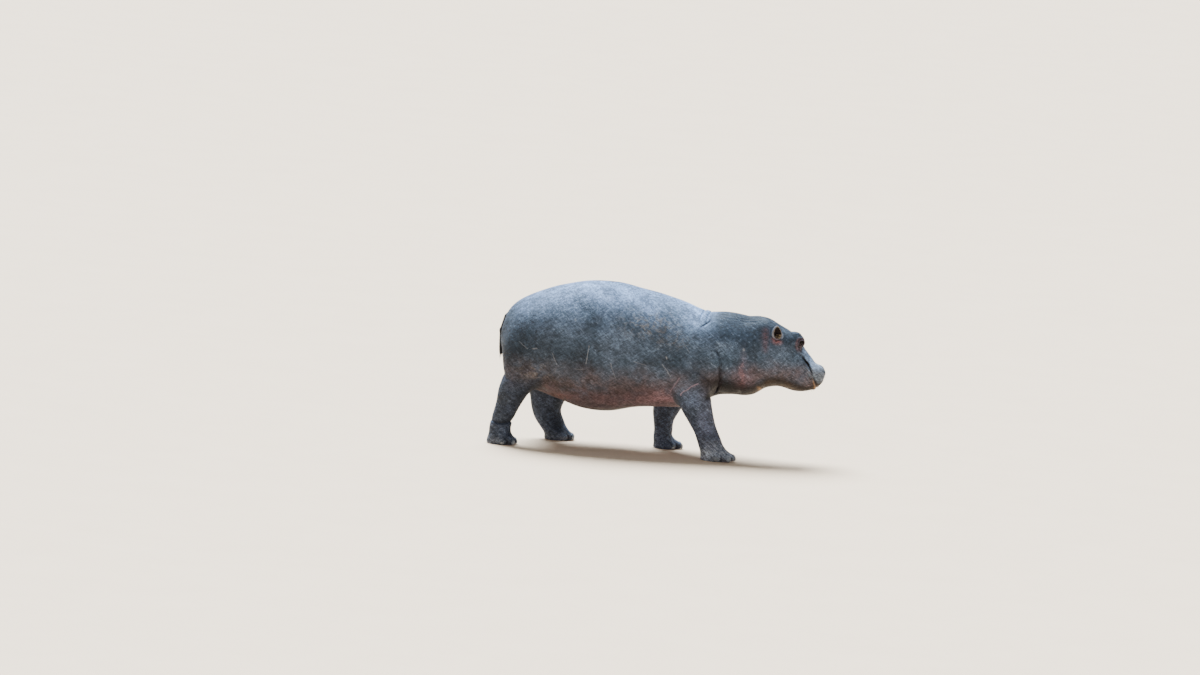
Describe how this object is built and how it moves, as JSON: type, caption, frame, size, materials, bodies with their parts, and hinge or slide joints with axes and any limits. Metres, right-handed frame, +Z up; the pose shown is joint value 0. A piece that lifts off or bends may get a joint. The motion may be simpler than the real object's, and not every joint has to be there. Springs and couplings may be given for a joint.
{
  "type": "hippopotamus",
  "caption": "Young hippopotamus walking with its head held low and forward, a still life-size museum model in natural hide colours.",
  "frame": {"origin": "on the floor under the middle of the model's length and width", "axes": "+X forward the way the animal walks, +Y its left side, +Z up"},
  "size_m": [1.7809, 0.663, 0.8996],
  "materials": {
    "skin": "bare grey-brown hide, finely wrinkled, pinkish below",
    "nail": "dull horn",
    "eye": "wet dark eye"
  },
  "bodies": {
    "root": {"trunk": "skin", "neck": "skin", "head": "skin", "lower_jaw": "skin", "ear_right": "skin", "ear_left": "skin", "tail": "skin", "leg_hind_right": "skin", "leg_front_right": "skin", "leg_hind_left": "skin", "leg_front_left": "skin", "foot_hind_right": "skin", "foot_front_right": "skin", "foot_hind_left": "skin", "foot_front_left": "skin", "nail_hind_right_1": "nail", "nail_hind_right_2": "nail", "nail_hind_right_3": "nail", "nail_hind_right_4": "nail", "nail_front_right_1": "nail", "nail_front_right_2": "nail", "nail_front_right_3": "nail", "nail_front_right_4": "nail", "nail_hind_left_1": "nail", "nail_hind_left_2": "nail", "nail_hind_left_3": "nail", "nail_hind_left_4": "nail", "nail_front_left_1": "nail", "nail_front_left_2": "nail", "nail_front_left_3": "nail", "nail_front_left_4": "nail", "eye_right": "eye", "eye_left": "eye"}
  },
  "joints": []
}
